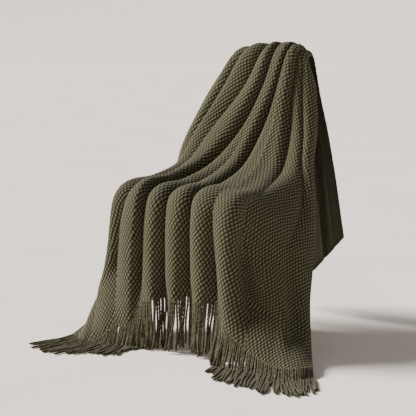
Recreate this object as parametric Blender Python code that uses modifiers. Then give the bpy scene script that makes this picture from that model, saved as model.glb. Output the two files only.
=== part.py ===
"""Knitted throw with a fringed front hem, draped over a plain wooden chair. Metres, +Z up, front towards -Y."""

import math
from collections import namedtuple

import bmesh
import bpy
import numpy as np

# Throw
CLOTH_THICKNESS = 0.004
COLUMNS_PER_FOLD = 3
CREST_ROUNDNESS = 1.45
TROUGH_ROUNDNESS = 0.65
SHOULDER_ROUND = 0.016
NORMAL_REACH = 0.025

# Fringe
STRAND_PITCH = 0.0120
STRAND_WIDTH = 0.0042
STRAND_LENGTH = 0.162
STRAND_RINGS = 4
STRIP_WIDTH = 0.005
STRIP_THICKNESS = 0.003
STRAND_CLEARANCE = 0.0058
STRIP_GAP = 0.0020
FLOOR_GAP = 0.0004

# Chair
SEAT_WIDTH = 0.40
SEAT_DEPTH = 0.40
SEAT_TOP = 0.4605
SEAT_THICKNESS = 0.032
SEAT_CORNER = 0.035
LEG_WIDTH = 0.034
LEG_INSET = 0.012
BACK_WIDTH = 0.25
BACK_THICKNESS = 0.020
BACK_TOP = 0.897
BACK_CORNER = 0.060
BACK_RAKE = 0.152
JOINT_GAP = 0.0003
EDGE_ROUND = 0.006

# All shapes are laid out from the middle of the seat, then moved so that the whole stands centred on the origin.
MIDDLE_X = 0.1216
MIDDLE_Y = -0.0832

# One row for each section across the throw, from the rear hem over the chair to the front hem. The middle and the
# two shoulders lie on the chair's path, and the far and near selvedges hang free.
Section = namedtuple("Section", "name rows mid_y mid_z half far_x far_y far_z near_x near_y near_z")
SECTIONS = (
    Section("rear_hem", 4, 0.365, 0.150, 0.110, -0.235, 0.345, 0.270, 0.250, 0.350, 0.292),
    Section("rear_low", 3, 0.350, 0.450, 0.100, -0.200, 0.340, 0.510, 0.212, 0.345, 0.513),
    Section("rear_high", 3, 0.325, 0.720, 0.095, -0.170, 0.325, 0.740, 0.172, 0.330, 0.720),
    Section("top_rear", 2, 0.304, 0.880, 0.090, -0.142, 0.305, 0.868, 0.150, 0.308, 0.872),
    Section("top", 2, 0.278, 0.903, 0.090, -0.136, 0.280, 0.886, 0.148, 0.282, 0.884),
    Section("top_front", 4, 0.250, 0.885, 0.092, -0.158, 0.254, 0.862, 0.160, 0.266, 0.862),
    Section("back_high", 5, 0.225, 0.780, 0.130, -0.215, 0.215, 0.760, 0.196, 0.255, 0.778),
    Section("back_low", 5, 0.190, 0.640, 0.200, -0.297, 0.180, 0.590, 0.226, 0.215, 0.640),
    Section("crook", 5, 0.100, 0.525, 0.214, -0.290, 0.100, 0.430, 0.262, 0.145, 0.520),
    Section("seat", 4, -0.060, 0.477, 0.214, -0.280, -0.010, 0.280, 0.330, 0.055, 0.360),
    Section("seat_front", 3, -0.195, 0.466, 0.216, -0.285, -0.090, 0.180, 0.372, -0.025, 0.240),
    Section("drop_high", 4, -0.238, 0.395, 0.216, -0.298, -0.160, 0.110, 0.398, -0.075, 0.150),
    Section("drop_low", 4, -0.242, 0.250, 0.220, -0.330, -0.240, 0.045, 0.440, -0.130, 0.050),
)

# One row for each fold line, from the far selvedge to the near one: its distance from the middle along seven of the
# sections, its height off four of them, then its end on the front hem, all in mm.
Fold = namedtuple(
    "Fold", "name top high back crook seat edge drop top_h back_h seat_h drop_h hem_x hem_y hem_z"
)
FOLDS = (
    Fold("far_selvedge", -999, -999, -999, -999, -999, -999, -999, 0, 0, 0, 0, -336, -334, 4),
    Fold("far_dip", -128, -202, -292, -315, -390, -440, -430, 4, 6, 4, 4, -290, -356, 4),
    Fold("far_roll", -100, -178, -268, -285, -340, -380, -395, 16, 18, 16, 14, -256, -370, 10),
    Fold("far_crease", -62, -152, -240, -262, -275, -310, -360, 4, 14, 14, 4, -229, -366, 4),
    Fold("second_roll", -28, -117, -206, -228, -212, -250, -316, 24, 28, 32, 22, -203, -348, 12),
    Fold("second_crease", 0, -62, -163, -195, -178, -193, -218, 0, 18, 20, 0, -168, -314, 54),
    Fold("third_roll", 28, -14, -100, -145, -150, -122, -136, 28, 34, 36, 36, -118, -308, 60),
    Fold("third_crease", 52, 11, -50, -116, -120, -106, -112, 0, 0, 0, -3, -94, -280, 128),
    Fold("fourth_roll_far", 66, 38, -20, -66, -80, -54, -54, 27, 30, 24, 35, -36, -291, 151),
    Fold("fourth_crease", 75, 50, -6, -40, -43, -20, -20, 26, 32, 8, -4, -10, -248, 156),
    Fold("fourth_roll_near", 84, 61, 7, -10, 4, 38, 40, 28, 33, 24, 37, 44, -289, 158),
    Fold("fifth_crease", 94, 73, 33, 18, 36, 78, 78, 0, 0, 0, -5, 84, -248, 176),
    Fold("fifth_roll_far", 102, 90, 72, 62, 88, 122, 136, 26, 30, 26, 35, 138, -284, 165),
    Fold("fifth_crease_low", 107, 100, 92, 94, 132, 166, 180, 24, 36, 24, -4, 190, -256, 160),
    Fold("fifth_roll_near", 112, 112, 116, 140, 178, 226, 234, 24, 34, 16, 36, 248, -285, 98),
    Fold("sixth_crease", 124, 129, 143, 174, 213, 280, 310, 6, 0, 6, 14, 318, -291, 54),
    Fold("sixth_roll", 134, 148, 174, 218, 296, 376, 402, 14, 16, 12, 8, 414, -297, 24),
    Fold("seventh_crease", 141, 158, 194, 242, 349, 466, 455, 8, 2, 2, 6, 468, -295, 24),
    Fold("seventh_roll", 147, 174, 211, 260, 380, 514, 500, 10, 18, 10, 12, 499, -271, 26),
    Fold("near_selvedge", 999, 999, 999, 999, 999, 999, 999, 0, 0, 0, 0, 510, -227, 24),
)
# The section at which each group of fold values holds.
PLACES = {"top": 4, "high": 6, "back": 7, "crook": 8, "seat": 9, "edge": 11, "drop": 12}
HEIGHTS = {"top_h": 4, "back_h": 7, "seat_h": 9, "drop_h": 12}
# Behind the chair the folds spread and flatten out. This is their height on the rear hem, by share of the top's.
REAR_HEIGHT = 0.30

# The fringe at places along the front hem, by share of it: the direction the strands take on the floor, in degrees
# from +X, and how far they lean that way as they fall.
Lie = namedtuple("Lie", "share direction lean")
LIES = (
    Lie(0.00, -103, 1.00),
    Lie(0.08, -108, 1.00),
    Lie(0.14, -100, 1.00),
    Lie(0.20, -82, 0.90),
    Lie(0.27, -74, 0.50),
    Lie(0.34, -85, 0.08),
    Lie(0.60, -88, 0.05),
    Lie(0.69, -70, 0.70),
    Lie(0.78, -66, 0.90),
    Lie(0.90, -58, 1.00),
    Lie(1.00, -53, 1.00),
)


def material(name, color, roughness, metallic=0.0):
    made = bpy.data.materials.new(name)
    made.use_nodes = True
    shader = made.node_tree.nodes["Principled BSDF"]
    shader.inputs["Base Color"].default_value = (*color, 1.0)
    shader.inputs["Roughness"].default_value = roughness
    shader.inputs["Metallic"].default_value = metallic
    return made


def slopes(at, values):
    """Tangents of a smooth curve through the values, weighted by the spans on either side."""
    span = np.diff(at)[:, None]
    rise = np.diff(values, axis=0) / span
    inner = (rise[:-1] * span[1:] + rise[1:] * span[:-1]) / (span[:-1] + span[1:])
    return np.concatenate([rise[:1], inner, rise[-1:]])


def hermite(start, end, start_slope, end_slope, share):
    square = share * share
    cube = square * share
    ends = (2 * cube - 3 * square + 1) * start + (3 * square - 2 * cube) * end
    return ends + (cube - 2 * square + share) * start_slope + (cube - square) * end_slope


def smooth(at, values, where):
    """The smooth curve through rows of values, read at the places in where."""
    tangent = slopes(at, values)
    cell = np.clip(np.searchsorted(at, where, side="right") - 1, 0, len(at) - 2)
    span = (at[cell + 1] - at[cell])[:, None]
    share = (where - at[cell])[:, None] / span
    return hermite(values[cell], values[cell + 1], tangent[cell] * span, tangent[cell + 1] * span, share)


def section_corners(section):
    far = (section.far_x, section.far_y, section.far_z)
    near = (section.near_x, section.near_y, section.near_z)
    on_chair = [(x, section.mid_y, section.mid_z) for x in (-section.half, 0.0, section.half)]
    return np.array([far, *on_chair, near])


def section_lengths(corners):
    along = np.concatenate([[0.0], np.cumsum(np.linalg.norm(np.diff(corners, axis=0), axis=1))])
    return along - along[2]


def on_section(corners, distances):
    """Points of a section at distances from its middle, with its corners rounded."""
    along = section_lengths(corners)
    total = np.zeros((len(distances), 3))
    for offset in (-1.0, -0.5, 0.0, 0.5, 1.0):
        near_end = np.minimum(distances - along[0], along[-1] - distances)
        reach = np.clip(near_end, 0.0, SHOULDER_ROUND)
        at = distances + offset * reach
        total += np.stack([np.interp(at, along, corners[:, axis]) for axis in range(3)], axis=1)
    return total / 5


def sections_at(where):
    """Corners of the sections at fractional places along the throw."""
    corners = np.array([section_corners(section) for section in SECTIONS])
    at = np.arange(len(SECTIONS), dtype=float)
    flat = smooth(at, corners.reshape(len(SECTIONS), -1), np.clip(where, 0.0, at[-1]))
    return flat.reshape(len(where), 5, 3)


def fold_track(fold, keys, rear_share):
    """A fold's value on every section, smooth through those given and carried on to the rear hem."""
    rows = np.array([0, *keys.values()], dtype=float)
    given = [getattr(fold, key) / 1000 for key in keys]
    values = np.array([given[0] * rear_share, *given])[:, None]
    return smooth(rows, values, np.arange(len(SECTIONS), dtype=float))[:, 0]


def fold_places(fold):
    """A fold's distance from the middle on every section. Up to the top it keeps its share of the section's side."""
    places = fold_track(fold, PLACES, 1.0)
    ends = np.array([section_lengths(section_corners(section))[[0, -1]] for section in SECTIONS])
    side = int(fold.top > 0)
    top = PLACES["top"]
    places = np.clip(places, ends[:, 0], ends[:, 1])
    places[:top] = places[top] * ends[:top, side] / ends[top, side]
    return places


def between_folds(values, slopes_by_width, columns_per_fold):
    """Rows of values at every fold line filled in with smooth columns between the lines."""
    strips = []
    for cell in range(values.shape[1] - 1):
        start, end = values[:, cell], values[:, cell + 1]
        pulls = (CREST_ROUNDNESS, TROUGH_ROUNDNESS) if cell % 2 == 0 else (TROUGH_ROUNDNESS, CREST_ROUNDNESS)
        for step in range(columns_per_fold):
            share = step / columns_per_fold
            slope = (end - start) * slopes_by_width
            strips.append(hermite(start, end, slope * pulls[0], slope * pulls[1], share))
    strips.append(values[:, -1])
    return np.stack(strips, axis=1)


def draped_rows(where, columns_per_fold):
    """The throw's middle surface at places along it, from the section table's first row to its last."""
    at = np.arange(len(SECTIONS), dtype=float)
    places = smooth(at, np.array([fold_places(fold) for fold in FOLDS]).T, where)
    heights = smooth(at, np.array([fold_track(fold, HEIGHTS, REAR_HEIGHT) for fold in FOLDS]).T, where)
    places = between_folds(places, 1.0, columns_per_fold)
    heights = between_folds(heights, 0.0, columns_per_fold)
    rows = []
    sets = zip(sections_at(where), sections_at(where - 0.3), sections_at(where + 0.3), places, heights)
    for here, before, after, place, height in sets:
        across = on_section(here, place + NORMAL_REACH) - on_section(here, place - NORMAL_REACH)
        outward = np.cross(on_section(after, place) - on_section(before, place), across)
        outward /= np.linalg.norm(outward, axis=1, keepdims=True)
        rows.append(on_section(here, place) + outward * height[:, None])
    return np.array(rows)


def throw_grid(columns_per_fold, row_scale):
    """The throw's middle surface: rows from the rear hem to the front hem, columns from far to near."""
    last = len(SECTIONS) - 1.0
    rows = [
        index + np.arange(section.rows * row_scale) / (section.rows * row_scale)
        for index, section in enumerate(SECTIONS)
    ]
    draped = np.append(np.concatenate(rows[:-1]), last)
    upper = draped_rows(draped, columns_per_fold)
    before = draped_rows(np.array([last - 0.2]), columns_per_fold)[0]
    hem = np.array([(fold.hem_x, fold.hem_y, fold.hem_z) for fold in FOLDS]) / 1000
    lines = np.arange(len(FOLDS), dtype=float)
    hem = smooth(lines, hem, np.linspace(0.0, lines[-1], upper.shape[1]))
    fall = (upper[-1] - before) / 0.2
    run = hem - upper[-1]
    lower = [hermite(upper[-1], hem, fall * 0.8, run, share) for share in (rows[-1] - last)[1:]]
    grid = np.concatenate([upper, lower, [hem]])
    grid[:, :, 2] = np.maximum(grid[:, :, 2], CLOTH_THICKNESS / 2 + FLOOR_GAP)
    return grid


def mesh_object(name, points, faces, fabric, collection):
    mesh = bpy.data.meshes.new(name)
    mesh.from_pydata([tuple(point) for point in points], [], faces)
    mesh.materials.append(fabric)
    made = bpy.data.objects.new(name, mesh)
    collection.objects.link(made)
    return made


def build_throw(collection, fabric):
    grid = throw_grid(COLUMNS_PER_FOLD, 1)
    rows, columns = grid.shape[:2]
    faces = []
    for row in range(rows - 1):
        for column in range(columns - 1):
            first = row * columns + column
            faces.append((first, first + columns, first + columns + 1, first + 1))
    throw = mesh_object("throw", grid.reshape(-1, 3), faces, fabric, collection)
    solid = throw.modifiers.new("cloth thickness", "SOLIDIFY")
    solid.thickness = CLOTH_THICKNESS
    solid.offset = 0.0


def hem_frames(grid, spacing):
    """Places evenly spaced along the front hem, each with the way the cloth runs off it and its outward side."""
    hem = grid[-1]
    along = np.concatenate([[0.0], np.cumsum(np.linalg.norm(np.diff(hem, axis=0), axis=1))])
    count = int(along[-1] / spacing) // 2 * 2 + 1
    at = np.linspace(0.0, along[-1], count)
    place = np.stack([np.interp(at, along, hem[:, axis]) for axis in range(3)], axis=1)
    run = grid[-1] - grid[-2]
    run /= np.linalg.norm(run, axis=1, keepdims=True)
    fall = np.stack([np.interp(at, along, run[:, axis]) for axis in range(3)], axis=1)
    tangent = np.gradient(place, axis=0)
    tangent /= np.linalg.norm(tangent, axis=1, keepdims=True)
    for _ in range(6):
        fall[1:-1] = (fall[:-2] + fall[1:-1] * 2 + fall[2:]) / 4
    fall -= tangent * (fall * tangent).sum(axis=1, keepdims=True)
    fall /= np.linalg.norm(fall, axis=1, keepdims=True)
    return place, fall, tangent, at / along[-1]


def strand_line(root, fall, share, length):
    """Middle line of one strand: it hangs from the hem, leans over and runs out level along the floor."""
    shares = [lie.share for lie in LIES]
    turn = math.radians(np.interp(share, shares, [lie.direction for lie in LIES]))
    lean = np.interp(share, shares, [lie.lean for lie in LIES])
    away = np.array([math.cos(turn), math.sin(turn), 0.0])
    floor = STRAND_WIDTH / 2 + FLOOR_GAP
    points = [root]
    step = length / STRAND_RINGS
    heading = fall
    for _ in range(STRAND_RINGS):
        heading = heading * 0.4 + (away * lean + np.array([0.0, 0.0, -1.0])) * 0.6
        heading /= np.linalg.norm(heading)
        drop = max(points[-1][2] - floor, 0.0)
        if heading[2] * step < -drop:
            level = heading * np.array([1.0, 1.0, 0.0]) + away * 0.25
            level /= np.linalg.norm(level)
            heading = level * math.sqrt(max(step * step - drop * drop, 0.0)) / step
            heading[2] = -drop / step
        points.append(points[-1] + heading * step)
    return np.array(points)


def along_line(line, count):
    places = np.linspace(0.0, len(line) - 1.0, count)
    return np.stack([np.interp(places, np.arange(len(line)), line[:, axis]) for axis in range(3)], axis=1)


def clear_line(line, laid):
    """The line cut short where it would come too near a strand already laid."""
    fine = along_line(line, 81)
    if not len(laid):
        return line
    apart = np.linalg.norm(fine[:, None] - laid[None], axis=2).min(axis=1)
    near = np.nonzero(apart < STRAND_CLEARANCE)[0]
    if not len(near):
        return line
    kept = max(near[0] - 1, 8) / 80
    return along_line(line, 401)[(np.linspace(0, kept, len(line)) * 400).astype(int)]


def build_fringe(collection, yarn):
    """The front fringe: a narrow strip along the hem with a tapered strand on every other part of it."""
    place, fall, tangent, share = hem_frames(throw_grid(COLUMNS_PER_FOLD, 1), STRAND_PITCH / 2)
    half = STRIP_THICKNESS / 2 * np.cross(tangent, fall)
    upper = place + fall * STRIP_GAP
    lower = place + fall * (STRIP_GAP + STRIP_WIDTH)
    points = []
    for index in range(len(place)):
        points += [upper[index] + half[index], lower[index] + half[index]]
        points += [lower[index] - half[index], upper[index] - half[index]]
    last = 4 * len(place) - 4
    faces = [(0, 1, 2, 3), (last + 3, last + 2, last + 1, last)]
    laid = np.zeros((0, 3))
    for index in range(len(place) - 1):
        near, far = 4 * index, 4 * index + 4
        faces.append((near, far, far + 1, near + 1))
        faces.append((near + 2, far + 2, far + 3, near + 3))
        faces.append((near + 3, far + 3, far, near))
        ring = (near + 1, far + 1, far + 2, near + 2)
        if index % 2:
            faces.append(ring)
            continue
        way = fall[index] + fall[index + 1]
        way /= np.linalg.norm(way)
        root = (lower[index] + lower[index + 1]) / 2
        uneven = 1.0 + 0.06 * math.sin(2.3 * index) + 0.04 * math.sin(0.71 * index)
        line = strand_line(root, way, (share[index] + share[index + 1]) / 2, STRAND_LENGTH * uneven)
        line = clear_line(line, laid)
        laid = np.concatenate([laid, along_line(line, 81)[6:]])
        for step in range(1, len(line)):
            width = STRAND_WIDTH * (0.5 - 0.12 * step / STRAND_RINGS)
            ahead = line[min(step + 1, len(line) - 1)] - line[step - 1]
            across = tangent[index] - ahead * (tangent[index] @ ahead) / (ahead @ ahead)
            across *= width / np.linalg.norm(across)
            depth = np.cross(across, ahead)
            depth *= width / np.linalg.norm(depth)
            made = len(points)
            for wide, deep in ((-1, 1), (1, 1), (1, -1), (-1, -1)):
                points.append(line[step] + across * wide + depth * deep)
            fresh = (made, made + 1, made + 2, made + 3)
            for edge in range(4):
                after = (edge + 1) % 4
                faces.append((ring[edge], ring[after], fresh[after], fresh[edge]))
            ring = fresh
        faces.append(ring)
    for point in points:
        point[2] = max(point[2], FLOOR_GAP)
    mesh_object("front_fringe", points, faces, yarn, collection)


def rounded_block(name, size, centre, wood, collection, corner=0.0):
    """A block with its upright corners rounded by a radius and every edge eased."""
    bpy.ops.mesh.primitive_cube_add(size=1.0, location=centre)
    block = bpy.context.object
    block.name = name
    block.scale = size
    bpy.ops.object.transform_apply(location=False, rotation=False, scale=True)
    block.data.materials.append(wood)
    for owner in list(block.users_collection):
        owner.objects.unlink(block)
    collection.objects.link(block)
    if corner:
        round_corners(block, corner)
    eased = block.modifiers.new("eased edges", "BEVEL")
    eased.width = EDGE_ROUND
    eased.segments = 2
    eased.limit_method = "ANGLE"
    eased.angle_limit = math.radians(50)
    return block


def round_corners(block, radius):
    net = bmesh.new()
    net.from_mesh(block.data)
    upright = [
        edge for edge in net.edges if abs((edge.verts[0].co - edge.verts[1].co).normalized().z) > 0.99
    ]
    bmesh.ops.bevel(net, geom=upright, offset=radius, segments=5, profile=0.5, affect="EDGES")
    net.to_mesh(block.data)
    net.free()


def build_chair(collection, wood):
    """The plain chair: a rounded seat board on four square legs, and a back board."""
    seat_bottom = SEAT_TOP - SEAT_THICKNESS
    seat_middle = SEAT_TOP - SEAT_THICKNESS / 2
    seat_size = (SEAT_WIDTH, SEAT_DEPTH, SEAT_THICKNESS)
    rounded_block("chair_seat", seat_size, (0.0, 0.0, seat_middle), wood, collection, SEAT_CORNER)
    leg_height = seat_bottom - JOINT_GAP
    reach = (SEAT_WIDTH / 2 - LEG_INSET - LEG_WIDTH / 2, SEAT_DEPTH / 2 - LEG_INSET - LEG_WIDTH / 2)
    for depth, depth_name in ((-1, "front"), (1, "rear")):
        for side, side_name in ((-1, "left"), (1, "right")):
            centre = (side * reach[0], depth * reach[1], leg_height / 2)
            name = f"chair_leg_{depth_name}_{side_name}"
            rounded_block(name, (LEG_WIDTH, LEG_WIDTH, leg_height), centre, wood, collection)
    build_back(collection, wood)


def build_back(collection, wood):
    """The back board, rounded at its top corners and leaning away from the seat's rear edge that carries it."""
    foot = SEAT_TOP - SEAT_THICKNESS
    height = BACK_TOP - foot
    foot_y = SEAT_DEPTH / 2 + JOINT_GAP + BACK_THICKNESS / 2 - EDGE_ROUND * BACK_RAKE
    bpy.ops.mesh.primitive_cube_add(size=1.0, location=(0.0, 0.0, height / 2))
    board = bpy.context.object
    board.name = "chair_back"
    board.scale = (BACK_WIDTH, BACK_THICKNESS, height)
    bpy.ops.object.transform_apply(location=True, rotation=False, scale=True)
    board.data.materials.append(wood)
    for owner in list(board.users_collection):
        owner.objects.unlink(board)
    collection.objects.link(board)
    net = bmesh.new()
    net.from_mesh(board.data)
    top_sides = [
        edge
        for edge in net.edges
        if abs((edge.verts[0].co - edge.verts[1].co).normalized().y) > 0.99 and edge.verts[0].co.z > height / 2
    ]
    bmesh.ops.bevel(net, geom=top_sides, offset=BACK_CORNER, segments=6, profile=0.5, affect="EDGES")
    for vert in net.verts:
        vert.co.y += foot_y + vert.co.z * BACK_RAKE
        vert.co.z += foot
    net.to_mesh(board.data)
    net.free()
    eased = board.modifiers.new("eased edges", "BEVEL")
    eased.width = EDGE_ROUND
    eased.segments = 2
    eased.limit_method = "ANGLE"
    eased.angle_limit = math.radians(50)


def main():
    for existing in list(bpy.data.objects):
        bpy.data.objects.remove(existing, do_unlink=True)
    collection = bpy.data.collections.new("knitted throw on chair")
    bpy.context.scene.collection.children.link(collection)
    fabric = material("olive knit", (0.10, 0.095, 0.055), 0.9)
    yarn = material("olive yarn", (0.11, 0.10, 0.06), 0.9)
    wood = material("pale wood", (0.42, 0.27, 0.15), 0.5)
    build_throw(collection, fabric)
    build_fringe(collection, yarn)
    build_chair(collection, wood)
    for piece in collection.objects:
        piece.location.x -= MIDDLE_X
        piece.location.y -= MIDDLE_Y


if __name__ == "__main__":
    main()
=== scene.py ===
# %% [markdown]
# # A waffle knit blanket over a chair
# A thick olive cotton blanket with a twisted fringe lies over a plain chair. It runs in long
# folds from the back's top over the seat, hangs down the front, and touches the floor at both
# front corners. This lesson dresses the measured solids: a fine knitted sheet on the same folds,
# twisted yarn for the fringe, wood for the hidden chair, and the floor, light and camera of the
# photograph.

# %% Load the measured solids
import math
import random
from collections import namedtuple

import bpy
import numpy as np
from mathutils import Matrix, Vector


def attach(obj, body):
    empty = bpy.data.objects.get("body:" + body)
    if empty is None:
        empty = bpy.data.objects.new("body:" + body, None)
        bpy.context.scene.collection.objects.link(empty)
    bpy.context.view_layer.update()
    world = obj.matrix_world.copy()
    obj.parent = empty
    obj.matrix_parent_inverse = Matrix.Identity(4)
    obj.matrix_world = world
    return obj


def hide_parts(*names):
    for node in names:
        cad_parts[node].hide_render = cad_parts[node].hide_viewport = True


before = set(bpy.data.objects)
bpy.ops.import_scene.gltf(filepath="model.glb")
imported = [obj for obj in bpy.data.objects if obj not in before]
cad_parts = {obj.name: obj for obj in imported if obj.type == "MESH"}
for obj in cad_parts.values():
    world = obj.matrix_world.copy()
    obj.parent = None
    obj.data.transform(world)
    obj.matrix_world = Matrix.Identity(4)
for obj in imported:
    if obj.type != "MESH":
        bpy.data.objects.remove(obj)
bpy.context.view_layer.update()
random.seed(7)
print("solids:", sorted(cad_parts))

# %% [markdown]
# ## Colours and nodes
# Every colour is written as it looks on a screen, in hex, and one function turns it into the
# linear light that the shader needs. One more function adds a node, sets its values and links its
# inputs, so a material reads as a list.

# %% Colour and node helpers


def hex_colour(text):
    channels = [int(text[at:at + 2], 16) / 255 for at in (1, 3, 5)]
    linear = [c / 12.92 if c <= 0.04045 else ((c + 0.055) / 1.055) ** 2.4 for c in channels]
    return (*linear, 1.0)


def add_node(tree, kind, inputs=None, **settings):
    """A node of that kind. An input takes a plain value, or another node's output."""
    node = tree.nodes.new(kind)
    for name, value in settings.items():
        setattr(node, name, value)
    for key, value in (inputs or {}).items():
        if isinstance(value, bpy.types.NodeSocket):
            tree.links.new(value, node.inputs[key])
        else:
            node.inputs[key].default_value = value
    return node


def blank_material(name):
    made = bpy.data.materials.new(name)
    made.use_nodes = True
    tree = made.node_tree
    tree.nodes.clear()
    return made, tree


def colour_band(tree, factor, stops):
    """A colour ramp through (place, hex colour) stops."""
    ramp = add_node(tree, "ShaderNodeValToRGB", {"Fac": factor})
    while len(ramp.color_ramp.elements) < len(stops):
        ramp.color_ramp.elements.new(0.5)
    for element, (place, colour) in zip(ramp.color_ramp.elements, stops):
        element.position = place
        element.color = hex_colour(colour)
    return ramp.outputs["Color"]


def deselect():
    bpy.ops.object.select_all(action="DESELECT")


# %% [markdown]
# ## The shape of the drape
# The blanket's middle surface is worked out from two short tables, the same ones the solids were
# made from. The first has a row for each section across the blanket, from the rear hem over the
# chair to the front hem. The second has a row for each fold line: how far it runs from the middle
# of a section, and how high it stands off it. All places are measured from the middle of the
# chair's seat, and moved at the end.

# %% Tables of the drape
Section = namedtuple("Section", "name mid_y mid_z half far_x far_y far_z near_x near_y near_z")
SECTIONS = (
    Section("rear_hem", 0.365, 0.150, 0.110, -0.235, 0.345, 0.270, 0.250, 0.350, 0.292),
    Section("rear_low", 0.350, 0.450, 0.100, -0.200, 0.340, 0.510, 0.212, 0.345, 0.513),
    Section("rear_high", 0.325, 0.720, 0.095, -0.170, 0.325, 0.740, 0.172, 0.330, 0.720),
    Section("top_rear", 0.304, 0.880, 0.090, -0.142, 0.305, 0.868, 0.150, 0.308, 0.872),
    Section("top", 0.278, 0.903, 0.090, -0.136, 0.280, 0.886, 0.148, 0.282, 0.884),
    Section("top_front", 0.250, 0.885, 0.092, -0.158, 0.254, 0.862, 0.160, 0.266, 0.862),
    Section("back_high", 0.225, 0.780, 0.130, -0.215, 0.215, 0.760, 0.196, 0.255, 0.778),
    Section("back_low", 0.190, 0.640, 0.200, -0.297, 0.180, 0.590, 0.226, 0.215, 0.640),
    Section("crook", 0.100, 0.525, 0.214, -0.290, 0.100, 0.430, 0.262, 0.145, 0.520),
    Section("seat", -0.060, 0.477, 0.214, -0.280, -0.010, 0.280, 0.330, 0.055, 0.360),
    Section("seat_front", -0.195, 0.466, 0.216, -0.285, -0.090, 0.180, 0.372, -0.025, 0.240),
    Section("drop_high", -0.238, 0.395, 0.216, -0.298, -0.160, 0.110, 0.398, -0.075, 0.150),
    Section("drop_low", -0.242, 0.250, 0.220, -0.330, -0.240, 0.045, 0.440, -0.130, 0.050),
)
Fold = namedtuple(
    "Fold", "name top high back crook seat edge drop top_h back_h seat_h drop_h hem_x hem_y hem_z"
)
FOLDS = (
    Fold("far_selvedge", -999, -999, -999, -999, -999, -999, -999, 0, 0, 0, 0, -336, -334, 4),
    Fold("far_dip", -128, -202, -292, -315, -390, -440, -430, 4, 6, 4, 4, -290, -356, 4),
    Fold("far_roll", -100, -178, -268, -285, -340, -380, -395, 16, 18, 16, 14, -256, -370, 10),
    Fold("far_crease", -62, -152, -240, -262, -275, -310, -360, 4, 14, 14, 4, -229, -366, 4),
    Fold("second_roll", -28, -117, -206, -228, -212, -250, -316, 24, 28, 32, 22, -203, -348, 12),
    Fold("second_crease", 0, -62, -163, -195, -178, -193, -218, 0, 18, 20, 0, -168, -314, 54),
    Fold("third_roll", 28, -14, -100, -145, -150, -122, -136, 28, 34, 36, 36, -118, -308, 60),
    Fold("third_crease", 52, 11, -50, -116, -120, -106, -112, 0, 0, 0, -3, -94, -280, 128),
    Fold("fourth_roll_far", 66, 38, -20, -66, -80, -54, -54, 27, 30, 24, 35, -36, -291, 151),
    Fold("fourth_crease", 75, 50, -6, -40, -43, -20, -20, 26, 32, 8, -4, -10, -248, 156),
    Fold("fourth_roll_near", 84, 61, 7, -10, 4, 38, 40, 28, 33, 24, 37, 44, -289, 158),
    Fold("fifth_crease", 94, 73, 33, 18, 36, 78, 78, 0, 0, 0, -5, 84, -248, 176),
    Fold("fifth_roll_far", 102, 90, 72, 62, 88, 122, 136, 26, 30, 26, 35, 138, -284, 165),
    Fold("fifth_crease_low", 107, 100, 92, 94, 132, 166, 180, 24, 36, 24, -4, 190, -256, 160),
    Fold("fifth_roll_near", 112, 112, 116, 140, 178, 226, 234, 24, 34, 16, 36, 248, -285, 98),
    Fold("sixth_crease", 124, 129, 143, 174, 213, 280, 310, 6, 0, 6, 14, 318, -291, 54),
    Fold("sixth_roll", 134, 148, 174, 218, 296, 376, 402, 14, 16, 12, 8, 414, -297, 24),
    Fold("seventh_crease", 141, 158, 194, 242, 349, 466, 455, 8, 2, 2, 6, 468, -295, 24),
    Fold("seventh_roll", 147, 174, 211, 260, 380, 514, 500, 10, 18, 10, 12, 499, -271, 26),
    Fold("near_selvedge", 999, 999, 999, 999, 999, 999, 999, 0, 0, 0, 0, 510, -227, 24),
)
# Columns of the fold table, and the section each one is measured at.
PLACES = {"top": 4, "high": 6, "back": 7, "crook": 8, "seat": 9, "edge": 11, "drop": 12}
HEIGHTS = {"top_h": 4, "back_h": 7, "seat_h": 9, "drop_h": 12}
# The folds' height at the rear hem, as a share of their height on the top.
REAR_HEIGHT = 0.30
MIDDLE = np.array([0.1216, -0.0832, 0.0])
CREST_ROUNDNESS = 1.45
TROUGH_ROUNDNESS = 0.65
CREASE_PINCH = 1.3
SHOULDER_ROUND = 0.016
# How far to each side the outward direction is measured: in metres across, in sections along.
NORMAL_REACH = 0.025
SECTION_REACH = 0.3
# The cloth leaves the last section as steeply as it reached it, then turns towards the hem.
FALL_REACH = 0.2
FALL_PULL = 0.8
LOWEST = 0.0024
LAST = len(SECTIONS) - 1.0

# %% [markdown]
# ## From tables to a surface
# A smooth curve through each column of the tables gives the values anywhere along the blanket.
# Crests are drawn wide and troughs narrow, because thick knitted cloth rolls over softly and
# closes up in its creases.

# %% Curves through the tables


def slopes(at, values):
    span = np.diff(at)[:, None]
    rise = np.diff(values, axis=0) / span
    inner = (rise[:-1] * span[1:] + rise[1:] * span[:-1]) / (span[:-1] + span[1:])
    return np.concatenate([rise[:1], inner, rise[-1:]])


def hermite(start, end, start_slope, end_slope, share):
    square = share * share
    cube = square * share
    ends = (2 * cube - 3 * square + 1) * start + (3 * square - 2 * cube) * end
    return ends + (cube - 2 * square + share) * start_slope + (cube - square) * end_slope


def smooth(at, values, where):
    tangent = slopes(at, values)
    cell = np.clip(np.searchsorted(at, where, side="right") - 1, 0, len(at) - 2)
    span = (at[cell + 1] - at[cell])[:, None]
    share = (where - at[cell])[:, None] / span
    start_slope, end_slope = tangent[cell] * span, tangent[cell + 1] * span
    return hermite(values[cell], values[cell + 1], start_slope, end_slope, share)


def section_corners(section):
    far = (section.far_x, section.far_y, section.far_z)
    near = (section.near_x, section.near_y, section.near_z)
    on_chair = [(x, section.mid_y, section.mid_z) for x in (-section.half, 0.0, section.half)]
    return np.array([far, *on_chair, near])


def section_lengths(corners):
    along = np.concatenate([[0.0], np.cumsum(np.linalg.norm(np.diff(corners, axis=0), axis=1))])
    return along - along[2]


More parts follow.
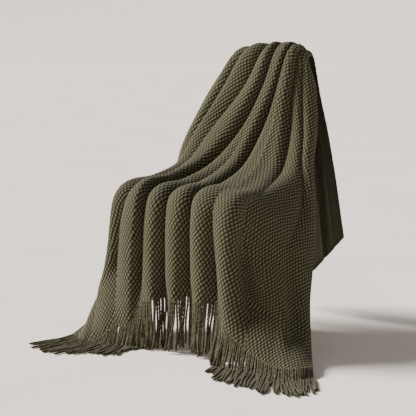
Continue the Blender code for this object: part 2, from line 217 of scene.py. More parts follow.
def on_section(corners, distances):
    along = section_lengths(corners)
    total = np.zeros((len(distances), 3))
    offsets = (-1.0, -0.5, 0.0, 0.5, 1.0)
    for offset in offsets:
        near_end = np.minimum(distances - along[0], along[-1] - distances)
        at = distances + offset * np.clip(near_end, 0.0, SHOULDER_ROUND)
        total += np.stack([np.interp(at, along, corners[:, axis]) for axis in range(3)], axis=1)
    return total / len(offsets)


def sections_at(where):
    corners = np.array([section_corners(section) for section in SECTIONS])
    at = np.arange(len(SECTIONS), dtype=float)
    flat = smooth(at, corners.reshape(len(SECTIONS), -1), np.clip(where, 0.0, LAST))
    return flat.reshape(len(where), 5, 3)


def fold_track(fold, keys, rear_share):
    rows = np.array([0, *keys.values()], dtype=float)
    given = [getattr(fold, key) / 1000 for key in keys]
    values = np.array([given[0] * rear_share, *given])[:, None]
    return smooth(rows, values, np.arange(len(SECTIONS), dtype=float))[:, 0]


def fold_places(fold):
    places = fold_track(fold, PLACES, 1.0)
    ends = np.array([section_lengths(section_corners(section))[[0, -1]] for section in SECTIONS])
    side = int(fold.top > 0)
    top = PLACES["top"]
    places = np.clip(places, ends[:, 0], ends[:, 1])
    places[:top] = places[top] * ends[:top, side] / ends[top, side]
    return places


def between_folds(values, crest_pull, trough_pull, steps):
    """Fills in between fold lines, by turns crest and trough; a pull says how fast one is left."""
    strips = []
    for cell in range(values.shape[1] - 1):
        start, end = values[:, cell], values[:, cell + 1]
        pulls = (crest_pull, trough_pull) if cell % 2 == 0 else (trough_pull, crest_pull)
        for step in range(steps):
            slope = end - start
            strips.append(hermite(start, end, slope * pulls[0], slope * pulls[1], step / steps))
    strips.append(values[:, -1])
    return np.stack(strips, axis=1)


# %% Rows of the drape at any place along the blanket


def upper_rows(where, steps):
    """Rows on the chair: each fold line's height is laid off the section, outward."""
    at = np.arange(len(SECTIONS), dtype=float)
    place_tracks = np.array([fold_places(fold) for fold in FOLDS])
    height_tracks = np.array([fold_track(fold, HEIGHTS, REAR_HEIGHT) for fold in FOLDS])
    places = smooth(at, place_tracks.T, where)
    heights = smooth(at, height_tracks.T, where)
    places = between_folds(places, CREST_ROUNDNESS, TROUGH_ROUNDNESS, steps)
    heights = between_folds(heights, 0.0, CREASE_PINCH, steps)
    rows = []
    sections = [sections_at(where + off) for off in (0.0, -SECTION_REACH, SECTION_REACH)]
    for here, before, after, place, height in zip(*sections, places, heights):
        across = on_section(here, place + NORMAL_REACH) - on_section(here, place - NORMAL_REACH)
        outward = np.cross(on_section(after, place) - on_section(before, place), across)
        outward /= np.linalg.norm(outward, axis=1, keepdims=True)
        rows.append(on_section(here, place) + outward * height[:, None])
    return np.array(rows)


def draped_rows(where, steps):
    """The blanket's middle surface at places from 0, the rear hem, to 13, the front hem."""
    upper = upper_rows(where[where <= LAST], steps)
    edge, before = upper_rows(np.array([LAST, LAST - FALL_REACH]), steps)
    hem = np.array([(fold.hem_x, fold.hem_y, fold.hem_z) for fold in FOLDS]) / 1000
    lines = np.arange(len(FOLDS), dtype=float)
    hem = smooth(lines, hem, np.linspace(0.0, lines[-1], upper.shape[1]))
    fall = (edge - before) / FALL_REACH
    lower = [
        hermite(edge, hem, fall * FALL_PULL, hem - edge, share)
        for share in where[where > LAST] - LAST
    ]
    rows = np.concatenate([upper, np.array(lower)]) if lower else upper
    rows[:, :, 2] = np.maximum(rows[:, :, 2], LOWEST)
    return rows - MIDDLE


# %% [markdown]
# ## Knitting the sheet
# The cloth is a lattice of raised bumps with a little hole between them, 12.9 mm apart along a
# row and 9.6 mm from row to row, each row shifted by half a bump. A scanned picture could not lie
# on the folds, so the bumps are worked out from the stitch map, in the mesh and again in the
# material. Each roll is knitted outward from its crest at even steps, and is trimmed where it
# meets the crease, as real rows of stitches disappear into a fold.

# %% Sizes of the knit
BUMP_ACROSS = 0.0129
BUMP_ALONG = 0.0096
STITCH_ACROSS = 0.0036
STITCH_ALONG = 0.0050
RELIEF = 0.0014
# Strength of each wave, and how often it swings across and along one bump.
WAVES = ((0.55, 1, 1), (0.38, 1, -1), (0.07, 0, 2))
CLOTH_THICKNESS = 0.004
FINE_STEPS = 24
COARSE_STEPS = 6
COARSE_ROWS = 224


def knit_height(u, v):
    """Height of the bumps, from -1 to 1: two strong diagonal waves, and a weak one along."""
    across = 2 * math.pi * u / BUMP_ACROSS
    along = math.pi * v / BUMP_ALONG
    return sum(strength * np.cos(a * across + b * along) for strength, a, b in WAVES)


# %% Evenly spaced rows with their outward directions
coarse = np.linspace(0.0, LAST + 1, COARSE_ROWS)
coarse_rows = draped_rows(coarse, COARSE_STEPS)
step_lengths = np.linalg.norm(np.diff(coarse_rows, axis=0), axis=2).mean(axis=1)
path = np.concatenate([[0.0], np.cumsum(step_lengths)])
row_count = int(round(path[-1] / STITCH_ALONG)) + 1
row_places = np.interp(np.linspace(0.0, path[-1], row_count), path, coarse)
row_places[-1] = LAST + 1
dense = draped_rows(row_places, FINE_STEPS)


def outward_of(rows):
    square_off = np.cross(np.gradient(rows, axis=0), np.gradient(rows, axis=1))
    return square_off / np.linalg.norm(square_off, axis=2, keepdims=True)


# %% Slack in the near panel
# Thick cloth never hangs quite taut. Three shallow swells and hollows lie along the near panel's
# fold lines, lean a little, and run from their first section to the hem, where they fade out.
Swell = namedtuple("Swell", "line lean first last reach height")
SWELLS = (
    Swell(14.95, 0.10, 10.4, 13.0, 0.50, -0.023),
    Swell(16.2, 0.25, 10.5, 13.0, 0.55, 0.017),
    Swell(17.5, 0.0, 9.5, 13.0, 0.60, -0.010),
)
outward = outward_of(dense)
line_of_column = np.arange(dense.shape[1]) / FINE_STEPS
for swell in SWELLS:
    share = np.clip((row_places - swell.first) / (swell.last - swell.first), 0.0, 1.0)
    lines = swell.line + swell.lean * (row_places - (swell.first + swell.last) / 2)
    bell = np.exp(-(((line_of_column[None, :] - lines[:, None]) / swell.reach) ** 2))
    dense += outward * (swell.height * np.sin(math.pi * share)[:, None] ** 2 * bell)[..., None]
outward = outward_of(dense)
hem_width = np.linalg.norm(np.diff(dense[-1], axis=0), axis=1).sum()
print(f"{row_count} rows over a path of {path[-1]:.2f} m, front hem {hem_width:.2f} m")

# %% [markdown]
# ## Where each stitch lies
# On a flat blanket the rows and columns of stitches are straight. On the draped one they follow
# the cloth, so the stitch map starts from a guide fold in each panel and walks outward over the
# surface, keeping the warp's direction. Panels meet in the deep creases, where the folded-away
# cloth between them isn't seen.

# %% Stitch map of each panel
Panel = namedtuple("Panel", "first guide last turn width")
PANELS = (
    Panel(0, 2, 3, 5, 1.0),
    Panel(3, 4, 5, 7, 1.0),
    Panel(5, 6, 7, 4, 1.0),
    Panel(7, 9, 11, -5, 1.0),
    Panel(11, 12, 13, -11, 1.0),
    Panel(13, 14, 15, -18, 1.0),
    Panel(15, 17, 19, -20, 0.86),
)
SEAMS = {line for panel in PANELS for line in (panel.first, panel.last)}
WARP_SMOOTHINGS = 900
UNEVENNESS = 0.0006
SLOW_WAVES = 8
SLOW_PACES = (90, 220)
strip_uv = np.zeros((len(FOLDS) - 1, row_count, FINE_STEPS + 1, 2))


def unit(vectors):
    return vectors / np.linalg.norm(vectors, axis=-1, keepdims=True)


def on_surface(directions, normal):
    return unit(directions - normal * (directions * normal).sum(axis=1, keepdims=True))


def stitches_crossed(steps, warp, normal):
    """How far each step goes across the warp and along it."""
    weft = np.cross(normal, warp)
    return np.stack([(steps * weft).sum(axis=1), (steps * warp).sum(axis=1)], axis=1)


for panel in PANELS:
    guide = dense[:, panel.guide * FINE_STEPS]
    guide_normal = outward[:, panel.guide * FINE_STEPS]
    guide_warp = unit(np.gradient(guide, axis=0))
    for _ in range(WARP_SMOOTHINGS):
        guide_warp[1:-1] = (guide_warp[:-2] + 2 * guide_warp[1:-1] + guide_warp[2:]) / 4
    guide_warp = on_surface(guide_warp, guide_normal)
    first_uv = np.zeros((row_count, 2))
    crossed = stitches_crossed(np.diff(guide, axis=0), guide_warp[1:], guide_normal[1:])
    first_uv[1:] = np.cumsum(crossed, axis=0)
    for side, end in ((1, panel.last), (-1, panel.first)):
        warp = guide_warp
        uv = first_uv
        for column in range(panel.guide * FINE_STEPS, end * FINE_STEPS, side):
            strip = min(column, column + side) // FINE_STEPS
            strip_uv[strip, :, column - strip * FINE_STEPS] = uv
            normal = outward[:, column + side]
            warp = on_surface(warp, normal)
            steps = dense[:, column + side] - dense[:, column]
            uv = uv + stitches_crossed(steps, warp, normal)
            strip_uv[strip, :, column + side - strip * FINE_STEPS] = uv
    turn = math.radians(panel.turn)
    spin = np.array([(math.cos(turn), math.sin(turn)), (-math.sin(turn), math.cos(turn))])
    strips = slice(panel.first, panel.last)
    strip_uv[strips] = strip_uv[strips] @ spin / (panel.width, 1.0)

# Knitting is never quite even: slow waves shift the stitches by about a millimetre.
for _ in range(SLOW_WAVES):
    pace = random.uniform(*SLOW_PACES)
    lean = random.uniform(0, math.pi)
    phase = random.uniform(0, 2 * math.pi)
    across_wave = strip_uv[..., 0] * math.cos(lean) + strip_uv[..., 1] * math.sin(lean)
    wave = np.sin(pace * across_wave + phase)
    strip_uv[..., 0] += UNEVENNESS * wave * math.cos(3 * phase)
    strip_uv[..., 1] += UNEVENNESS * wave * math.sin(3 * phase)

# %% Points of each half roll, from its crest to its crease
FADE_STITCHES = 2
SEAM_ROOM = 0.4
points = []
sheet_uv = []


def add_point(place, uv):
    points.append(place)
    sheet_uv.append(uv)
    return len(points) - 1


def edge_fade(row, from_seam):
    """Relief dies out in a narrow border, so that hems and creases close neatly."""
    rows_in = min(row, row_count - 1 - row)
    fade_across = np.clip(from_seam / (FADE_STITCHES * STITCH_ACROSS), 0.0, 1.0)
    return min(rows_in / FADE_STITCHES, 1.0) * fade_across


line_points = {}
for line in range(len(FOLDS)):
    strip, at = (line, 0) if line < len(FOLDS) - 1 else (line - 1, FINE_STEPS)
    for row in range(row_count):
        uv = strip_uv[strip, row, at]
        raised = 0.0 if line in SEAMS else RELIEF * edge_fade(row, 1.0) * knit_height(*uv)
        here = line * FINE_STEPS
        place = dense[row, here] + outward[row, here] * (CLOTH_THICKNESS / 2 + raised)
        line_points[line, row] = add_point(place, tuple(uv))
half_rolls = []
for strip in range(len(FOLDS) - 1):
    crest, crease = (strip, strip + 1) if strip % 2 == 0 else (strip + 1, strip)
    side = crease - crest
    span = np.arange(crest * FINE_STEPS, crease * FINE_STEPS + side, side)
    chains = []
    for row in range(row_count):
        curve = dense[row, span]
        uv = strip_uv[strip, row, ::side]
        along = np.concatenate([[0.0], np.cumsum(np.linalg.norm(np.diff(curve, axis=0), axis=1))])
        count = max(int((along[-1] - SEAM_ROOM * STITCH_ACROSS) / STITCH_ACROSS), 0)
        at = np.arange(1, count + 1) * STITCH_ACROSS
        columns = np.concatenate([curve, outward[row, span], uv], axis=1)
        inner = np.stack([np.interp(at, along, each) for each in columns.T], axis=1)
        from_seam = np.minimum(
            along[-1] - at if crease in SEAMS else 1.0, at if crest in SEAMS else 1.0
        )
        raised = RELIEF * edge_fade(row, from_seam) * knit_height(inner[:, 6], inner[:, 7])
        places = inner[:, :3] + inner[:, 3:6] * (CLOTH_THICKNESS / 2 + raised)[:, None]
        chain = [(line_points[crest, row], tuple(uv[0]))]
        for place, each in zip(places, inner[:, 6:]):
            chain.append((add_point(place, tuple(each)), tuple(each)))
        chain.append((line_points[crease, row], tuple(uv[-1])))
        chains.append(chain)
    half_rolls.append((crest, crease, chains))

# %% Faces between neighbouring rows
faces = []
face_uv = []
for crest, crease, chains in half_rolls:
    for first, second in zip(chains, chains[1:]):
        shared = min(len(first), len(second)) - 2
        rings = [(first[k], first[k + 1], second[k + 1], second[k]) for k in range(shared)]
        rings.append((*first[shared:], *reversed(second[shared:])))
        for ring in rings:
            ring = ring[::-1] if crease > crest else ring
            faces.append([each[0] for each in ring])
            face_uv.extend(each[1] for each in ring)
print(f"{len(points)} points, {len(faces)} faces on the outer side")

# %% [markdown]
# ## The inner side
# Cloth has two sides and an edge. The inner side is seldom seen, so it is a plainer sheet, 4 mm
# behind the outer one, and a zip of small triangles joins the two all round. That closes the
# blanket, and gives its hems a real edge.

# %% Inner sheet and the edge that closes it
INNER_STEPS = 6
INNER_ROWS = 4
INNER_COLUMN = 0.004
inner_rows = sorted({*range(0, row_count, INNER_ROWS), row_count - 1})
inner_columns = np.arange(0, dense.shape[1], FINE_STEPS // INNER_STEPS)
inner_ids = np.zeros((len(inner_rows), len(inner_columns)), dtype=int)
for r, row in enumerate(inner_rows):
    for c, column in enumerate(inner_columns):
        place = dense[row, column] - outward[row, column] * CLOTH_THICKNESS / 2
        inner_ids[r, c] = add_point(place, (column * INNER_COLUMN, row * STITCH_ALONG))
for r in range(len(inner_rows) - 1):
    for c in range(len(inner_columns) - 1):
        ring = [*inner_ids[r, c:c + 2], *inner_ids[r + 1, c:c + 2][::-1]]
        faces.append(ring)
        face_uv.extend(sheet_uv[each] for each in ring)


def zip_edges(outer, inner, flip):
    """Triangles between two chains of (place along the edge, point) that run the same way."""
    a, b = 0, 0
    while a < len(outer) - 1 or b < len(inner) - 1:
        take_outer = b == len(inner) - 1 or (
            a < len(outer) - 1 and outer[a + 1][0] <= inner[b + 1][0]
        )
        if take_outer:
            ring = [outer[a][1], outer[a + 1][1], inner[b][1]]
            a += 1
        else:
            ring = [outer[a][1], inner[b + 1][1], inner[b][1]]
            b += 1
        faces.append(ring[::-1] if flip else ring)
        face_uv.extend(sheet_uv[each] for each in ring)


def outer_row_chain(row):
    """The outer points of a whole row, from far to near, with their place in columns."""
    whole = []
    for crest, crease, chains in half_rolls:
        ids = [each[0] for each in chains[row]][:: crease - crest]
        low = min(crest, crease)
        for k, each in enumerate(ids[:-1]):
            whole.append(((low + k / (len(ids) - 1)) * FINE_STEPS, each))
    whole.append(((len(FOLDS) - 1) * FINE_STEPS, line_points[len(FOLDS) - 1, row]))
    return whole


for r, row, flip in ((0, 0, False), (-1, row_count - 1, True)):
    inner_chain = [(column, inner_ids[r, c]) for c, column in enumerate(inner_columns)]
    zip_edges(outer_row_chain(row), inner_chain, flip)
for c, line, flip in ((0, 0, True), (-1, len(FOLDS) - 1, False)):
    outer_chain = [(row, line_points[line, row]) for row in range(row_count)]
    inner_chain = [(row, inner_ids[r, c]) for r, row in enumerate(inner_rows)]
    zip_edges(outer_chain, inner_chain, flip)

# %% The blanket as one mesh
mesh = bpy.data.meshes.new("knitted_throw")
mesh.from_pydata([tuple(each) for each in points], [], faces)
layer = mesh.uv_layers.new(name="stitches")
layer.data.foreach_set("uv", np.array(face_uv, dtype=np.float32).ravel())
mesh.validate()
throw = bpy.data.objects.new("knitted_throw", mesh)
bpy.context.scene.collection.objects.link(throw)
deselect()
throw.select_set(True)
bpy.context.view_layer.objects.active = throw
bpy.ops.object.shade_smooth()
area = sum(face.area for face in mesh.polygons) / 2
edge_uses = np.zeros(len(mesh.loops), dtype=int)
mesh.loops.foreach_get("edge_index", edge_uses)
open_edges = int((np.bincount(edge_uses) != 2).sum())
print(f"blanket: {len(mesh.polygons)} faces, {area:.2f} m2 a side, {open_edges} open edges")

# %% [markdown]
# ## The fringe
# Each strand is a cotton yarn about 7.5 mm thick, two plies twisted round each other. A curve
# carries a small eight-sided profile, a little longer one way, and tilts it steadily along the
# strand, which winds the plies. The strands hang from the front hem, and those by the two corners
# run out over the floor.

# %% Sizes of the fringe
STRAND_PITCH = 0.0070
STRAND_RADIUS = 0.0038
STRAND_LENGTH = 0.160
STRAND_RINGS = 34
TWIST_PITCH = 0.026
PLY_ROUND = 0.94
PLY_LOBE = 0.06
TIP_SIZE = 0.55
ROOT_DEPTH = 0.006
LYING_HEIGHT = 1.15 * STRAND_RADIUS
BEND_KEPT = 0.4 ** (4 / STRAND_RINGS)
LEVEL_SPREAD = 0.05
ROOT_JITTER = 0.3
FALL_SMOOTHINGS = 8
LENGTH_RANGE = (0.92, 1.08)
TURN_SPREAD = 7
LEAN_SPREAD = 0.06
SWAY_RANGE = (0.0015, 0.0045)
SWAY_TURNS = 7
WELD = 0.00005
# Where along the hem, which way over the floor in degrees, and how strongly the strands lean.
Lie = namedtuple("Lie", "share direction lean")
LIES = (
    Lie(0.00, -98, 1.00),
    Lie(0.08, -102, 1.00),
    Lie(0.14, -95, 1.00),
    Lie(0.20, -82, 0.90),
    Lie(0.27, -74, 0.50),
    Lie(0.34, -85, 0.08),
    Lie(0.60, -88, 0.05),
    Lie(0.69, -70, 0.70),
    Lie(0.78, -66, 0.90),
    Lie(0.90, -58, 1.00),
    Lie(1.00, -46, 1.00),
)

# The strands at both corners lie stretched out on the floor, so they are a little longer.
CORNER_LENGTHS = (
    (0.0, 0.98),
    (0.10, 1.08),
    (0.26, 1.10),
    (0.34, 1.0),
    (0.62, 1.0),
    (0.70, 1.22),
    (0.84, 1.18),
    (1.0, 1.06),
)

# %% Where the strands leave the hem
hem = dense[-1]
hem_along = np.concatenate([[0.0], np.cumsum(np.linalg.norm(np.diff(hem, axis=0), axis=1))])
strand_count = int(hem_along[-1] / STRAND_PITCH)
roots_at = (np.arange(strand_count) + 0.5) / strand_count * hem_along[-1]
jitter = [random.uniform(-ROOT_JITTER, ROOT_JITTER) for _ in roots_at]
roots_at += np.array(jitter) * STRAND_PITCH
roots = np.stack([np.interp(roots_at, hem_along, hem[:, axis]) for axis in range(3)], axis=1)
run = dense[-1] - dense[-4]
run /= np.linalg.norm(run, axis=1, keepdims=True)
falls = np.stack([np.interp(roots_at, hem_along, run[:, axis]) for axis in range(3)], axis=1)
for _ in range(FALL_SMOOTHINGS):
    falls[1:-1] = (falls[:-2] + falls[1:-1] * 2 + falls[2:]) / 4
falls /= np.linalg.norm(falls, axis=1, keepdims=True)


def strand_points(root, fall, share, length, turn_off, lean_off):
    """A strand hangs, leans over and runs out along the floor, a little crooked on its way."""
    shares = [lie.share for lie in LIES]
    turn = math.radians(np.interp(share, shares, [lie.direction for lie in LIES]) + turn_off)
    lean = np.interp(share, shares, [lie.lean for lie in LIES]) + lean_off
    away = np.array([math.cos(turn), math.sin(turn), 0.0])
    pull = away * lean + np.array([0.0, 0.0, -1.0])
    step = length / STRAND_RINGS
    places = [root - fall * ROOT_DEPTH]
    heading = fall
    for _ in range(STRAND_RINGS):
        heading = heading * BEND_KEPT + pull * (1 - BEND_KEPT)
        heading /= np.linalg.norm(heading)
        drop = max(places[-1][2] - LYING_HEIGHT, 0.0)
        if heading[2] * step < -drop:
            level = heading * np.array([1.0, 1.0, 0.0]) + away * LEVEL_SPREAD
            level /= np.linalg.norm(level)
            heading = level * math.sqrt(max(step * step - drop * drop, 0.0)) / step
            heading[2] = -drop / step
        places.append(places[-1] + heading * step)
    return np.array(places)


# %% One curve that holds every strand
profile_curve = bpy.data.curves.new("ply_profile", "CURVE")
profile_curve.dimensions = "2D"
outline = profile_curve.splines.new("POLY")
outline.points.add(7)
for corner in range(8):
    angle = corner * math.pi / 4
    reach = STRAND_RADIUS * (PLY_ROUND + PLY_LOBE * math.cos(2 * angle))
    outline.points[corner].co = (reach * math.cos(angle), reach * math.sin(angle), 0.0, 1.0)
outline.use_cyclic_u = True
profile = bpy.data.objects.new("ply_profile", profile_curve)
bpy.context.scene.collection.objects.link(profile)
strands_curve = bpy.data.curves.new("fringe_strands", "CURVE")
strands_curve.dimensions = "3D"
strands_curve.bevel_mode = "OBJECT"
strands_curve.bevel_object = profile
strands_curve.use_fill_caps = True
for index in range(strand_count):
    share = roots_at[index] / hem_along[-1]
    length = STRAND_LENGTH * random.uniform(*LENGTH_RANGE) * np.interp(share, *zip(*CORNER_LENGTHS))
    turn_off = random.gauss(0, TURN_SPREAD)
    lean_off = random.gauss(0, LEAN_SPREAD)
    places = strand_points(roots[index], falls[index], share, length, turn_off, lean_off)
    sway = random.uniform(*SWAY_RANGE)
    phase = random.uniform(0, 2 * math.pi)
    spline = strands_curve.splines.new("POLY")
    spline.points.add(len(places) - 1)
    for ring, place in enumerate(places):
        share_down = ring / STRAND_RINGS
        bend = sway * share_down * math.sin(phase + SWAY_TURNS * share_down)
        shifted = place + np.array([bend, bend * 0.5, 0.0])
        point = spline.points[ring]
        point.co = (*shifted, 1.0)
        point.tilt = phase + 2 * math.pi * ring * length / STRAND_RINGS / TWIST_PITCH
        point.radius = TIP_SIZE if ring == STRAND_RINGS else 1.0
strands = bpy.data.objects.new("fringe_strands", strands_curve)
bpy.context.scene.collection.objects.link(strands)
deselect()
strands.select_set(True)
bpy.context.view_layer.objects.active = strands
bpy.ops.object.convert(target="MESH")
strands = bpy.context.object
bpy.ops.object.mode_set(mode="EDIT")
bpy.ops.mesh.select_all(action="SELECT")
bpy.ops.mesh.remove_doubles(threshold=WELD)
bpy.ops.mesh.normals_make_consistent(inside=False)
bpy.ops.object.mode_set(mode="OBJECT")
bpy.ops.object.shade_smooth()
bpy.data.objects.remove(profile, do_unlink=True)
print(f"fringe: {strand_count} strands, {len(strands.data.polygons)} faces")

# %% [markdown]
# ## Knitted cotton
# Olive cotton in a thick waffle knit: soft, matt and slightly hairy. The bumps catch the light,
# and less of it reaches the holes between them, so the colour is painted darker in the holes as
# painted shade and lighter on the bumps as painted light. The pattern reads the blanket's own
# stitch map, so it lies on the folds and shares its lattice with the mesh.

# %% Knit material
# Both kinds of cotton scatter light alike: no gloss, and a faint sheen from the loose fibres.
MATT_COTTON = {
    "IOR": 1.45,
    "Sheen Weight": 0.06,
    "Sheen Roughness": 0.5,
    "Specular IOR Level": 0.2,
}
# Knitted cotton: three waves on the stitch map make the bumps, which lift the yarn and set the
# painted shade in the holes and the painted light on the bumps.
knit, tree = blank_material("knitted cotton")
stitch_map = add_node(tree, "ShaderNodeUVMap", uv_map="stitches")
split = add_node(tree, "ShaderNodeSeparateXYZ", {"Vector": stitch_map.outputs["UV"]})
across = add_node(
    tree,
    "ShaderNodeMath",
    {0: split.outputs["X"], 1: 2 * math.pi / BUMP_ACROSS},
    operation="MULTIPLY",
).outputs[0]
along = add_node(
    tree,
    "ShaderNodeMath",
    {0: split.outputs["Y"], 1: math.pi / BUMP_ALONG},
    operation="MULTIPLY",
).outputs[0]
waves = []
for strength, across_share, along_share in WAVES:
    turned = add_node(
        tree, "ShaderNodeMath", {0: along, 1: float(along_share)}, operation="MULTIPLY"
    ).outputs[0]
    if across_share:
        turned = add_node(
            tree, "ShaderNodeMath", {0: across, 1: turned}, operation="ADD"
        ).outputs[0]
    wave = add_node(tree, "ShaderNodeMath", {0: turned}, operation="COSINE").outputs[0]
    weighed = add_node(tree, "ShaderNodeMath", {0: wave, 1: strength}, operation="MULTIPLY")
    waves.append(weighed.outputs[0])
pair = add_node(tree, "ShaderNodeMath", {0: waves[0], 1: waves[1]}, operation="ADD")
bumps = add_node(tree, "ShaderNodeMath", {0: pair.outputs[0], 1: waves[2]}, operation="ADD")
yarn_place = add_node(tree, "ShaderNodeTexCoord")
# Yarn fibres are far finer than a pixel, so they are drawn as a soft 2.5 mm mottle.
mottle = add_node(
    tree,
    "ShaderNodeTexNoise",
    {"Vector": yarn_place.outputs["Object"], "Scale": 400.0, "Detail": 2.0},
)
worn = add_node(tree, "ShaderNodeMath", {0: mottle.outputs["Fac"], 1: -0.5}, operation="ADD")
rough_bumps = add_node(
    tree,
    "ShaderNodeMath",
    {0: worn.outputs[0], 1: 0.9, 2: bumps.outputs[0]},
    operation="MULTIPLY_ADD",
)
# The bump height, mapped onto the colour ramp: painted shade in the holes, painted light on the
# bumps.
painted_knit_shade = add_node(
    tree,
    "ShaderNodeMapRange",
    {"Value": rough_bumps.outputs[0], "From Min": -0.85, "From Max": 0.95},
)
colour = colour_band(
    tree,
    painted_knit_shade.outputs["Result"],
    ((0.0, "#1B1910"), (0.35, "#302E1F"), (0.60, "#484633"), (0.95, "#66644F")),
)
relief = add_node(
    tree, "ShaderNodeBump", {"Height": rough_bumps.outputs[0], "Strength": 1.0, "Distance": 0.0009}
)
cotton = add_node(
    tree,
    "ShaderNodeBsdfPrincipled",
    {**MATT_COTTON, "Base Color": colour, "Roughness": 0.92, "Normal": relief.outputs["Normal"]},
)
add_node(tree, "ShaderNodeOutputMaterial", {"Surface": cotton.outputs["BSDF"]})
throw.data.materials.append(knit)

# %% [markdown]
# ## Twisted yarn
# The fringe is the same cotton, spun and twisted. It has no holes, so it looks a little lighter
# than the knit.

# %% Yarn material
# Twisted cotton yarn: blotches a few millimetres wide vary the olive, and roughen the surface.
yarn, tree = blank_material("twisted cotton yarn")
yarn_place = add_node(tree, "ShaderNodeTexCoord")
blotches = add_node(
    tree,
    "ShaderNodeTexNoise",
    {"Vector": yarn_place.outputs["Object"], "Scale": 180.0, "Detail": 3.0},
)
colour = colour_band(
    tree, blotches.outputs["Fac"], ((0.3, "#242217"), (0.5, "#403D2C"), (0.7, "#5E5B49"))
)
fuzz = add_node(
    tree, "ShaderNodeBump", {"Height": blotches.outputs["Fac"], "Strength": 0.6, "Distance": 0.0006}
)
cotton = add_node(
    tree,
    "ShaderNodeBsdfPrincipled",
    {**MATT_COTTON, "Base Color": colour, "Roughness": 0.9, "Normal": fuzz.outputs["Normal"]},
)
add_node(tree, "ShaderNodeOutputMaterial", {"Surface": cotton.outputs["BSDF"]})
strands.data.materials.append(yarn)

# %% [markdown]
# ## Limewashed wood for the hidden chair
# The chair only shows from below and behind, and the photograph shows nothing dark between the
# strands. Wood rubbed with lime keeps a faint grain under a pale grey skin, drawn here as
# stretched noise along each piece's length.

# %% Wood material on the chair's solids


def limewashed(name, stretch):
    """Limewashed wood: noise stretched along the grain tints it, and makes it rough and porous."""
    made, tree = blank_material(name)
    place = add_node(tree, "ShaderNodeTexCoord")
    grain_space = add_node(
        tree, "ShaderNodeMapping", {"Vector": place.outputs["Object"], "Scale": stretch}
    )
    grain = add_node(
        tree,
        "ShaderNodeTexNoise",
        {"Vector": grain_space.outputs["Vector"], "Scale": 6.0, "Detail": 6.0},
    )
    colour = colour_band(
        tree, grain.outputs["Fac"], ((0.3, "#B9B2A8"), (0.55, "#CDC8BF"), (0.75, "#D8D3CB"))
    )
    rough = add_node(
        tree, "ShaderNodeMapRange", {"Value": grain.outputs["Fac"], "To Min": 0.42, "To Max": 0.6}
    )
    pores = add_node(
        tree,
        "ShaderNodeBump",
        {"Height": grain.outputs["Fac"], "Strength": 0.3, "Distance": 0.0004},
    )
    wood = add_node(
        tree,
        "ShaderNodeBsdfPrincipled",
        {
            "Base Color": colour,
            "Roughness": rough.outputs["Result"],
            "IOR": 1.5,
            "Normal": pores.outputs["Normal"],
        },
    )
    add_node(tree, "ShaderNodeOutputMaterial", {"Surface": wood.outputs["BSDF"]})
    return made


upright = limewashed("limewashed wood, upright grain", (12.0, 12.0, 1.0))
level = limewashed("limewashed wood, level grain", (1.0, 12.0, 12.0))
for name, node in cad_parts.items():
    if name.startswith("chair"):
        wood = upright if "leg" in name else level
        node.data.materials.clear()
        node.data.materials.append(wood)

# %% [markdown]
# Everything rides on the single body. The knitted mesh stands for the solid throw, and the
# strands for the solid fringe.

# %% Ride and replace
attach(throw, "root")
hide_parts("throw")
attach(strands, "root")
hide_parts("front_fringe")

# %% [markdown]
# ## Floor, light and camera
# The photograph was taken in a pale room with soft light from the left. The floor is a very wide
# shallow bowl, flat for 50 m and curving up at its rim, so that no line shows behind the chair
# from any side.

# %% Floor that curves up far away
CAMERA_TURN = 37.85
CAMERA_AWAY = 3.6
CAMERA_HEIGHT = 0.917
CAMERA_PITCH = 8.07
CAMERA_YAW = 0.569
FOCAL_PIXELS = 1138.2
PHOTO_PIXELS = 416
SENSOR_WIDTH = 36.0
FLOOR_SIZE = 240.0
FLOOR_CELLS = 80
LEVEL_REACH = 50.0
RIM_SOFTNESS = 400.0
turn = math.radians(CAMERA_TURN)
heading = math.radians(CAMERA_TURN + CAMERA_YAW)
beside, behind = CAMERA_AWAY * math.sin(turn), -CAMERA_AWAY * math.cos(turn)
camera_place = Vector((beside, behind, CAMERA_HEIGHT)) - Vector(MIDDLE)
right = Vector((math.cos(heading), math.sin(heading), 0.0))
onward = Vector((-math.sin(heading), math.cos(heading), 0.0))
deselect()
bpy.ops.mesh.primitive_grid_add(
    x_subdivisions=FLOOR_CELLS, y_subdivisions=FLOOR_CELLS, size=FLOOR_SIZE
)
room = bpy.context.object
room.name = "room"
for corner in room.data.vertices:
    corner.co.z = max(corner.co.xy.length - LEVEL_REACH, 0.0) ** 2 / RIM_SOFTNESS
bpy.ops.object.shade_smooth()
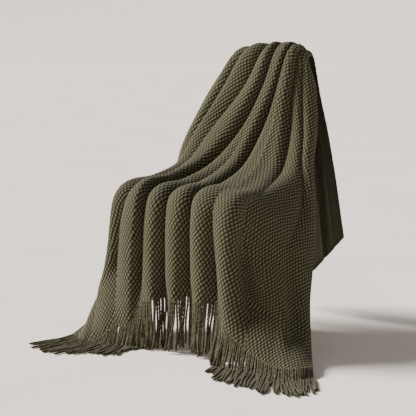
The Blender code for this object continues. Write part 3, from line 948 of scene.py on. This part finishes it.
# Painted plaster: warm white, with faint clouds about half a metre wide.
plaster, tree = blank_material("painted plaster")
place = add_node(tree, "ShaderNodeTexCoord")
cloudy = add_node(
    tree, "ShaderNodeTexNoise", {"Vector": place.outputs["Object"], "Scale": 1.5, "Detail": 2.0}
)
colour = colour_band(tree, cloudy.outputs["Fac"], ((0.3, "#F2EAE4"), (0.7, "#F4EEE9")))
paint = add_node(tree, "ShaderNodeBsdfPrincipled", {"Base Color": colour, "Roughness": 0.8})
add_node(tree, "ShaderNodeOutputMaterial", {"Surface": paint.outputs["BSDF"]})
room.data.materials.append(plaster)

# %% Soft light from the left, and pale air all round
KEY_SIDEWAYS = -0.80
KEY_ONWARD = 0.17
KEY_UP = 0.56
KEY_ANGLE = 22
KEY_POWER = 9.0
AIR_STRENGTH = 0.32


def far_lamp(name, towards, angle, power, colour):
    """Light from a big softbox so far off that it falls evenly on the whole floor."""
    data = bpy.data.lights.new(name, "SUN")
    data.angle = math.radians(angle)
    data.energy = power
    data.color = hex_colour(colour)[:3]
    made = bpy.data.objects.new(name, data)
    bpy.context.scene.collection.objects.link(made)
    made.rotation_euler = towards.to_track_quat("Z", "Y").to_euler()


key_towards = right * KEY_SIDEWAYS + onward * KEY_ONWARD + Vector((0, 0, KEY_UP))
far_lamp("key", key_towards, KEY_ANGLE, KEY_POWER, "#FFFBF3")
world = bpy.data.worlds.new("room air")
bpy.context.scene.world = world
world.use_nodes = True
air = world.node_tree.nodes["Background"]
air.inputs["Color"].default_value = hex_colour("#ECE6E1")
air.inputs["Strength"].default_value = AIR_STRENGTH

# %% Camera at the photograph's place
camera_data = bpy.data.cameras.new("camera")
camera_data.sensor_fit = "HORIZONTAL"
camera_data.sensor_width = SENSOR_WIDTH
camera_data.lens = FOCAL_PIXELS / PHOTO_PIXELS * SENSOR_WIDTH
camera = bpy.data.objects.new("camera", camera_data)
bpy.context.scene.collection.objects.link(camera)
pitch = math.radians(CAMERA_PITCH)
looking = onward * math.cos(pitch) - Vector((0, 0, math.sin(pitch)))
above = right.cross(looking)
camera_axes = Matrix((right, above, -looking)).transposed().to_4x4()
camera.matrix_world = Matrix.Translation(camera_place) @ camera_axes
bpy.context.scene.camera = camera
